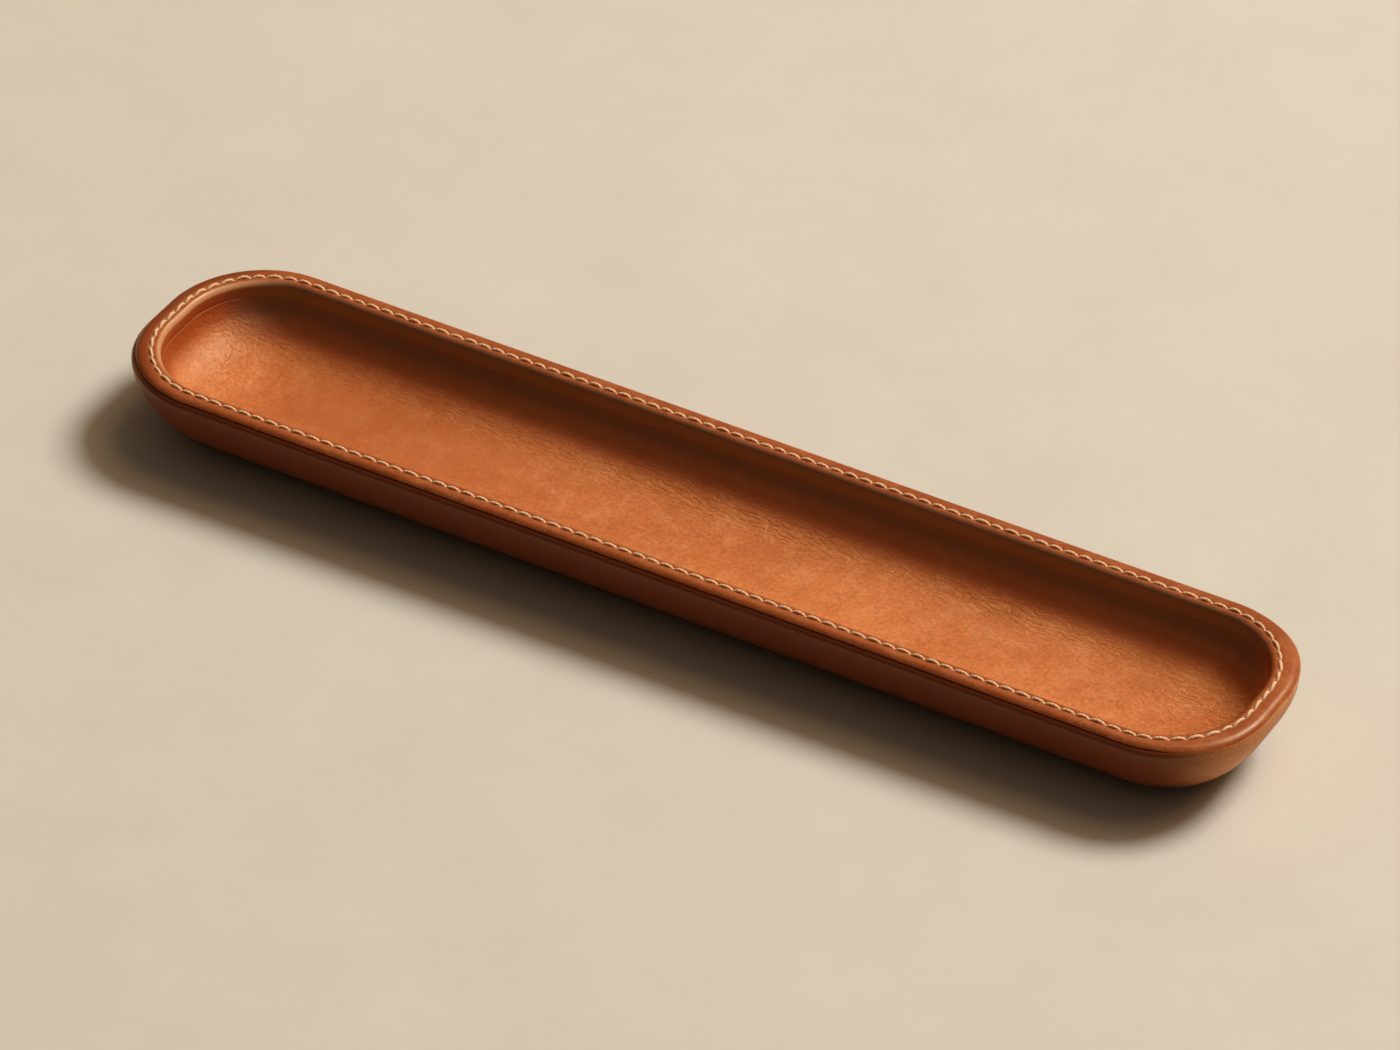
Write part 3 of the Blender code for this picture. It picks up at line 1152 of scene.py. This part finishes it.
@dataclass(frozen=True)
class TroughLiner:
    """The moulded leather of the trough, from the flap's edge down over the hollow floor."""

    line: SeamLine
    shaping: HandShaping
    lip_height: float
    floor_height: float
    top_height: float = 16.03 * MM
    wall_inset: float = 1.9 * MM
    power: float = 2.4
    thickness: float = 1.2 * MM
    # The liner steps back by so much behind the flap
    step: float = 0.02 * MM
    step_heights: Span = (13.0 * MM, 16.0 * MM)
    top_gap: float = 0.1 * MM
    top_rounding: float = 0.02 * MM
    row_step: float = 0.22 * MM
    close_row: float = 0.1
    stations: int = 640
    # The floor's unevenness: how high, and how long in x, y and height
    bump_height: float = 0.07 * MM
    bump_size: tuple[float, float, float] = (13 * MM, 9 * MM, 9 * MM)
    # The folds: a band along the far side, in patches, and a patch at the right end
    band: Span = (12.5 * MM, 3.8 * MM)
    patch_length: float = 38 * MM
    patch_start: tuple[float, float] = (1.7, 0.3)
    patch_base: float = 0.65
    patch_sway: float = 0.9
    patch_least: float = 0.2
    fold_base: float = 0.06
    fold_strength: float = 0.75
    right_folds: float = 0.8
    right_along: Span = (92 * MM, 106 * MM)
    right_across: Span = (4 * MM, 11 * MM)
    # The crackle and the gloss at the left end
    crackle_strength: float = 0.4
    left_gloss: float = 0.2
    left_along: Span = (-94 * MM, -108 * MM)
    left_across: Span = (3 * MM, 10 * MM)
    # The walls' painted shade, the deep-dyed wall of the left end, painted shade on the far
    # fillet, and the deep-dyed left part of the floor
    side_heights: Span = (8.3 * MM, 14.5 * MM)
    end_heights: Span = (10.5 * MM, 14.0 * MM)
    fillet_heights: Span = (8.0 * MM, 10.0 * MM)
    fillet_fade: Span = (12.6 * MM, 10.4 * MM)
    fillet_across: Span = (6 * MM, 14 * MM)
    floor_along: Span = (-15 * MM, -75 * MM)
    floor_fade: Span = (-112 * MM, -92 * MM)
    fillet_shade: float = 0.6
    floor_tone: float = 0.45

    def face(self) -> Section:
        """Draw the visible face.

        Returns:
            Its points, from the flap's edge to the middle of the floor.
        """
        half_width = self.line.half_width - self.wall_inset
        drop = self.lip_height - self.floor_height
        points = []
        for out, down in superellipse(half_width, drop, self.power, steps=400):
            height = self.lip_height - down
            if height < self.top_height - self.top_gap:
                behind = self.step * smooth_share(height, *self.step_heights)
                points.append((out + behind - self.line.half_width, height))
        points = evenly_spaced(points, self.row_step)
        # One close row below the top keeps its edge crisp
        points.insert(1, between(points[0], points[1], self.close_row))
        return points

    def section(self) -> tuple[Section, int]:
        """The closed section, from the floor's middle on the face, up, over and back below.

        Returns:
            The points, and how many of them belong to the visible face.
        """
        face = list(reversed(self.face()))
        back = other_face(face[::7], self.thickness)
        back[0] = (face[0][0], face[0][1] - self.thickness)
        edge = face[-1][0]
        rounded = (edge + self.top_rounding, self.top_height)
        top = (edge + self.thickness, self.top_height)
        return face + [rounded, top] + list(reversed(back)), len(face)

    def masks(self, x: float, y: float, height: float, facing: float) -> dict[str, float]:
        """Where the trough crackles, is deep in dye, and takes painted shade.

        Args:
            x: place along the tray.
            y: place across the tray.
            height: height above the surface below the tray.
            facing: the direction that the wall's loop faces here.

        Returns:
            The masks.
        """
        chance = noise.noise(Vector((x / self.patch_length, *self.patch_start)))
        patches = max(self.patch_base + self.patch_sway * chance, self.patch_least)
        right = smooth_share(x, *self.right_along) * bell(y, *self.right_across)
        left = smooth_share(x, *self.left_along) * bell(y, *self.left_across)
        folds = self.fold_base + max(bell(y, *self.band) * patches, self.right_folds * right)
        side = smooth_share(height, *self.side_heights)
        fillet = smooth_share(height, *self.fillet_heights) * smooth_share(y, *self.fillet_across)
        fillet *= smooth_share(height, *self.fillet_fade)
        floor = smooth_share(x, *self.floor_along) * smooth_share(x, *self.floor_fade)
        end = smooth_share(height, *self.end_heights) * self.shaping.left_end(facing)
        # On the far fillet the deep tone is painted shade, like the walls' darkening along the
        # sides
        return {
            "wrinkle": self.fold_strength * min(folds, 1.0) * (1.0 - left),
            "crackle": self.crackle_strength * left,
            "burnish": self.left_gloss * left,
            "side_shade": side * self.shaping.inner_side_shade(facing),
            "deep_dye_and_shade": max(end, self.fillet_shade * fillet, self.floor_tone * floor),
        }

    def build(self, finish: TannedLeather) -> bpy.types.Object:
        """Build the liner, with the slight unevenness of its hollow floor.

        Args:
            finish: the leather's finish.

        Returns:
            The finished piece.
        """
        section, visible = self.section()
        normals = section_normals(section)
        long, wide, high = self.bump_size

        def place(share: float, row: int) -> Placed:
            """Raise the floor's unevenness.

            Args:
                share: how far round the seam line.
                row: which point of the section.

            Returns:
                The point's place and masks.
            """
            offset, height = section[row]
            x, y = self.line.place(share, offset)
            values: dict[str, float] = {}
            if row < visible:
                chance = noise.noise(Vector((x / long, y / wide, height / high)))
                height += normals[row][1] * chance * self.bump_height
                values = self.masks(x, y, height, self.line.facing(share))
            return self.shaping.moved(x, y, height), values

        piece = swept_mesh(
            "moulded_trough_liner",
            self.stations,
            len(section) - 1,
            place,
            ("wrinkle", "crackle", "burnish", "side_shade", "deep_dye_and_shade"),
        )
        return finished(piece, finish.material(), "liner_leather", "inner_liner")


@dataclass(frozen=True)
class NeedleThread:
    """The top thread: one arch for each stitch, diving into the needle holes between."""

    seam: SaddleSeam
    shaping: HandShaping
    low_height: float
    radius: float = 0.34 * MM
    arch: float = 1.18 * MM
    # Both are powers below 1: the arch peaks a little early, and is fuller than a sine
    lead: float = 0.92
    fullness: float = 0.5
    plies: int = 3
    ply_relief: float = 0.10
    lay: float = 2.3 * MM
    steps_per_stitch: int = 26
    sides: int = 12

    def spot(self, stitch: Stitch, part: float) -> Vector:
        """The thread's middle at a part of a stitch.

        Args:
            stitch: the stitch.
            part: 0 at its first hole, 1 at its second.

        Returns:
            The point in space.
        """
        climb = math.sin(math.pi * part**self.lead) ** self.fullness
        share = stitch.start + (stitch.end - stitch.start) * part
        offset = stitch.slant * math.cos(math.pi * part)
        x, y = self.seam.line.place(share, offset)
        height = self.low_height + self.arch * stitch.rise**0.5 * climb
        return self.shaping.moved(x, y, height)

    def build(self, finish: FibrousFinish) -> bpy.types.Object:
        """Build the thread as one tube with the lobes of its plies.

        Args:
            finish: the thread's finish.

        Returns:
            The finished piece.
        """
        stitches = self.seam.stitches()
        steps = self.steps_per_stitch
        stations = len(stitches) * steps
        path = [self.spot(stitches[at // steps], at % steps / steps) for at in range(stations)]
        runs = [0.0]
        for before, after in zip(path, path[1:] + path[:1]):
            runs.append(runs[-1] + (after - before).length)
        turns = round(runs[-1] / self.lay)

        def place(share: float, row: int) -> Placed:
            """Go round the thread, whose plies turn about each other.

            Args:
                share: how far round the seam line.
                row: which of the tube's sides.

            Returns:
                The point's place, and no masks.
            """
            step = round(share * stations) % stations
            along = (path[(step + 1) % stations] - path[(step - 1) % stations]).normalized()
            facing = self.seam.line.facing(share)
            out = Vector((math.cos(facing), math.sin(facing), 0.0))
            out = (out - along * out.dot(along)).normalized()
            up = along.cross(out)
            angle = math.tau * (row % self.sides) / self.sides
            twist = math.tau * turns * runs[step] / runs[-1]
            lobes = 1.0 + self.ply_relief * math.cos(self.plies * (angle - twist))
            radius = self.radius * stitches[step // steps].weight * lobes
            return path[step] + out * math.cos(angle) * radius + up * math.sin(angle) * radius, {}

        piece = swept_mesh("cream_needle_thread", stations, self.sides, place)
        return finished(piece, finish.material(), "thread", "needle_thread")


@dataclass(frozen=True)
class SuedeSole:
    """The thin suede cover that the tray stands on."""

    line: SeamLine
    thickness: float
    edge_offset: float
    round_radius: float = 0.25 * MM
    face_step: float = 1.5 * MM
    back_step: float = 4 * MM
    stations: int = 360

    def build(self, finish: FibrousFinish) -> bpy.types.Object:
        """Build the sole with its rounded edge.

        Args:
            finish: the suede's finish.

        Returns:
            The finished piece.
        """
        middle = -self.line.half_width
        radius = self.round_radius
        corner = self.edge_offset - radius
        section = evenly_spaced([(middle, 0.0), (corner, 0.0)], self.face_step)
        section += arc((corner, radius), radius, -90.0, 0.0, segments=4)[1:]
        section += arc((corner, self.thickness - radius), radius, 0.0, 90.0, segments=4)
        back = [(corner, self.thickness), (middle, self.thickness)]
        section += evenly_spaced(back, self.back_step)[1:]

        def place(share: float, row: int) -> Placed:
            """Place a point of the sole, which lies flat.

            Args:
                share: how far round the seam line.
                row: which point of the section.

            Returns:
                The point's place, and no masks.
            """
            offset, height = section[row]
            return Vector((*self.line.place(share, offset), height)), {}

        piece = swept_mesh("suede_sole", self.stations, len(section) - 1, place)
        return finished(piece, finish.material(), "sole_suede", "base_sole")


@dataclass(frozen=True)
class HiddenParts:
    """The core and the under thread, which keep their CAD shapes."""

    nodes: dict[str, bpy.types.Object]

    def dress(self, core: Finish, under_thread: Finish) -> None:
        """Give both their real finish.

        Args:
            core: the core's finish.
            under_thread: the under thread's finish.
        """
        self.nodes["fibre_core"].material_slots[0].material = core.material()
        self.nodes["bobbin_thread"].material_slots[0].material = under_thread.material()


@dataclass(frozen=True)
class SoftLamp:
    """A round soft box hung above the floor, aimed at the tray.

    Its level is what it adds, by itself, to a white floor: 1 would show that floor as white.
    """

    name: str
    azimuth: float
    elevation: float
    half_angle: float
    level: tuple[float, float, float]
    distance: float = 3.2

    def build(self) -> None:
        """Hang it."""
        light = bpy.data.lights.new(self.name, "AREA")
        light.shape = "DISK"
        light.size = 2 * self.distance * math.tan(math.radians(self.half_angle))
        peak = max(self.level)
        rise = math.radians(self.elevation)
        turn = math.radians(self.azimuth)
        light.energy = peak * (math.pi * self.distance) ** 2 / math.sin(rise)
        light.color = [share / peak for share in self.level]
        lamp = bpy.data.objects.new(self.name, light)
        flat = math.cos(rise)
        towards = Vector((math.cos(turn) * flat, math.sin(turn) * flat, math.sin(rise)))
        lamp.location = towards * self.distance
        lamp.rotation_mode = "QUATERNION"
        lamp.rotation_quaternion = (-towards).to_track_quat("-Z", "Y")
        bpy.context.scene.collection.objects.link(lamp)


@dataclass(frozen=True)
class Studio:
    """The pale floor, soft light from behind on the right, a warm glow overhead, the camera."""

    paper: Finish
    aim_height: float
    azimuth: float = 30.428
    elevation: float = 37.417
    distance: float = 1.687
    lens: float = 216.1
    sensor_width: float = 36.0
    clip_start: float = 0.1
    clip_end: float = 20.0
    aim_right: float = 0.436 * MM
    aim_up: float = 5.30 * MM
    floor_half_width: float = 3.0
    surround: str = "dfcfb8"
    # What the glow adds to a white floor, and how steeply it gathers overhead
    glow: tuple[float, float, float] = (0.112, 0.097, 0.082)
    glow_power: float = 1.3
    # Half as strong again behind, and half as strong in front
    glow_lean: tuple[float, float, float] = (0.35, 0.35, 0.0)
    lamps: tuple[SoftLamp, ...] = (
        SoftLamp(
            "window_lamp", azimuth=57.0, elevation=51.6, half_angle=10.0, level=(0.60, 0.67, 0.76)
        ),
        SoftLamp(
            "warm_diffuser", azimuth=57.0, elevation=57.2, half_angle=26.0, level=(0.28, 0.20, 0.12)
        ),
    )

    def floor(self) -> None:
        """Lay the paper."""
        shape = bmesh.new()
        bmesh.ops.create_grid(shape, x_segments=1, y_segments=1, size=self.floor_half_width)
        mesh = bpy.data.meshes.new("paper_floor")
        shape.to_mesh(mesh)
        shape.free()
        mesh.materials.append(self.paper.material())
        sheet = bpy.data.objects.new("paper_floor", mesh)
        bpy.context.scene.collection.objects.link(sheet)

    def sky(self) -> None:
        """Make the glow, stronger overhead and behind, and show the camera a pale surround."""
        world = bpy.data.worlds.new("studio_surround")
        bpy.context.scene.world = world
        world.use_nodes = True
        tree = world.node_tree
        tree.nodes.clear()
        towards = add_node(tree, "TexCoord").outputs["Generated"]
        leaning = {0: towards, 1: self.glow_lean}
        behind = add_node(tree, "VectorMath", leaning, operation="DOT_PRODUCT")
        side = add_node(tree, "Math", {0: behind.outputs["Value"], 1: 1.0}, operation="ADD")
        peak = max(self.glow) * (self.glow_power + 2.0) / 2.0
        strength = add_node(tree, "SeparateXYZ", {0: towards}).outputs["Z"]
        for operation, value in (
            ("MAXIMUM", 0.0),
            ("POWER", self.glow_power),
            ("MULTIPLY", side.outputs[0]),
            ("MULTIPLY", peak),
        ):
            both = {0: strength, 1: value}
            strength = add_node(tree, "Math", both, operation=operation).outputs[0]
        tint = (*(share / max(self.glow) for share in self.glow), 1.0)
        fill = add_node(tree, "Background", {"Color": tint, "Strength": strength})
        surround = {"Color": linear_colour(self.surround), "Strength": 1.0}
        pale = add_node(tree, "Background", surround)
        seen = add_node(tree, "LightPath").outputs["Is Camera Ray"]
        mixed = add_node(tree, "MixShader", {0: seen, 1: fill.outputs[0], 2: pale.outputs[0]})
        add_node(tree, "OutputWorld", {"Surface": mixed.outputs[0]})

    def camera(self) -> None:
        """Stand the camera where the photograph was taken from."""
        turn = math.radians(self.azimuth)
        rise = math.radians(self.elevation)
        flat = math.cos(rise)
        back = Vector((math.sin(turn) * flat, -math.cos(turn) * flat, math.sin(rise)))
        right = Vector((math.cos(turn), math.sin(turn), 0.0))
        up = back.cross(right)
        centre = Vector((0.0, 0.0, self.aim_height))
        target = centre - right * self.aim_right - up * self.aim_up
        lens = bpy.data.cameras.new("photo_camera")
        lens.lens = self.lens
        lens.sensor_width = self.sensor_width
        lens.clip_start = self.clip_start
        lens.clip_end = self.clip_end
        camera = bpy.data.objects.new("photo_camera", lens)
        camera.location = centre + back * self.distance
        camera.rotation_mode = "QUATERNION"
        camera.rotation_quaternion = (target - camera.location).to_track_quat("-Z", "Y")
        bpy.context.scene.collection.objects.link(camera)
        bpy.context.scene.camera = camera

    def build(self) -> None:
        """Build the whole studio."""
        self.floor()
        for lamp in self.lamps:
            lamp.build()
        self.sky()
        self.camera()


# Pressed over the core and little handled: satin, with soft folds that catch the light
LINER_LEATHER = TannedLeather(
    name="waxed_tan_liner_leather",
    face="da7b40",
    deep="c66a32",
    pale="e69358",
    # Deep tone: the dye's own, but painted shade on the far fillet; side tone: painted shade
    tones={"deep_dye_and_shade": "aa4b1a", "side_shade": "7a5c45"},
    grain=Grain.SMOOTH,
    roughness=0.54,
    grain_depth_mm=0.09,
    coat=0.03,
    wrinkle_depth_mm=0.15,
)
# Burnished with wax and rubbed by hands: darker, a bit glossier, a painted highlight on the lip
RIM_LEATHER = TannedLeather(
    name="burnished_tan_rim_leather",
    face="b45a2b",
    deep="a14c20",
    pale="c36e39",
    # Painted shade on the flap, holes and valley; the last tone is a painted highlight on the lip
    tones={"deep_dye_and_shade": "a24819", "side_shade": "82654a", "shade_and_dark_tone": "3a1c0e", "lip_highlight": "dd9b68"},
    grain=Grain.BURNISHED,
    roughness=0.46,
    grain_depth_mm=0.06,
    wax=0.44,
)
# Moulded tight round the outside: nearly matt; reddish brown painted shade on sides and foot
WALL_LEATHER = TannedLeather(
    name="burnished_tan_wall_leather",
    face="d98d4c",
    deep="cb7b3e",
    pale="e2995b",
    tones={"side_shade": "723219", "shade_and_dark_tone": "4a2310"},
    grain=Grain.BURNISHED,
    roughness=0.50,
    grain_depth_mm=0.06,
    wax=0.30,
    coat=0.03,
)
# Three-ply linen thread, waxed and undyed: matt, cream, with a faint fibre halo
TOP_THREAD = FibrousFinish(
    name="waxed_linen_thread",
    shade="ecb077",
    face="fece95",
    roughness=0.62,
    fibre_mm=0.6,
    detail=3.0,
    fineness=0.6,
    relief=0.5,
    relief_mm=0.03,
    sheen=0.15,
)
UNDER_THREAD = replace(TOP_THREAD, name="waxed_linen_bobbin_thread")
# Split leather with a raised nap: matt, soft, lighter where the nap lies over
SPLIT_SUEDE = FibrousFinish(
    name="brown_split_suede",
    shade="4d3323",
    face="6e4a32",
    roughness=0.95,
    fibre_mm=0.6,
    detail=3.0,
    fineness=0.7,
    stroke_mm=9.0,
    tone_span=(0.12, 0.4),
    relief=0.8,
    relief_mm=0.12,
    sheen=0.4,
)
# Pressed leather fibre board: matt, brown, with short pale fibres all through it
FIBRE_BOARD = FibrousFinish(
    name="pressed_fibre_board",
    shade="5f4a35",
    face="8c7052",
    roughness=0.9,
    fibre_mm=1.2,
    detail=5.0,
    distortion=1.5,
    relief=0.6,
    relief_mm=0.08,
)
# The floor: heavy uncoated paper, matt and warm, very faintly clouded
FLOOR_PAPER = FibrousFinish(
    name="warm_uncoated_paper",
    shade="dfcfb5",
    face="e3d4ba",
    roughness=0.95,
    fibre_mm=38.0,
    detail=6.0,
    fineness=0.65,
    tone_span=(0.35, 0.65),
)


def main() -> None:
    """Build the tray on its frame, then the studio round it."""
    logging.basicConfig(level=logging.INFO, format="%(message)s")
    noise.seed_set(NOISE_SEED)
    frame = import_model()
    bpy.context.scene.view_settings.view_transform = "Standard"

    line = SeamLine.from_frame(wall_reach=3.7 * MM, end_half_straight=3.4 * MM)
    seam = SaddleSeam(line)
    shaping = HandShaping()
    rim_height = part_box("rim_binding")[1].z
    shell_low, shell_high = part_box("outer_shell")
    liner_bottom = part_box("inner_liner")[0].z
    sole_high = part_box("base_sole")[1]

    shell = OuterShell(
        line,
        shaping,
        base_height=shell_low.z,
        shoulder_height=shell_high.z + 0.22 * MM,
        flange_height=rim_height - 1.5 * MM,
    )
    binding = RimBinding(seam, shaping, top_height=rim_height)
    liner = TroughLiner(
        line,
        shaping,
        lip_height=rim_height - 1.5 * MM,
        floor_height=liner_bottom + 1.2 * MM,
    )
    thread = NeedleThread(seam, shaping, low_height=rim_height - 1.1 * MM)
    sole = SuedeSole(line, thickness=sole_high.z, edge_offset=sole_high.y - line.half_width)
    pieces = [
        shell.build(WALL_LEATHER),
        binding.build(RIM_LEATHER),
        liner.build(LINER_LEATHER),
        thread.build(TOP_THREAD),
        sole.build(SPLIT_SUEDE),
    ]
    for piece in pieces:
        LOG.info("%s: %d faces", piece.name, len(piece.data.polygons))
    HiddenParts(frame["nodes"]).dress(FIBRE_BOARD, UNDER_THREAD)
    Studio(FLOOR_PAPER, aim_height=19.8 * MM).build()


if __name__ == "__main__":
    main()
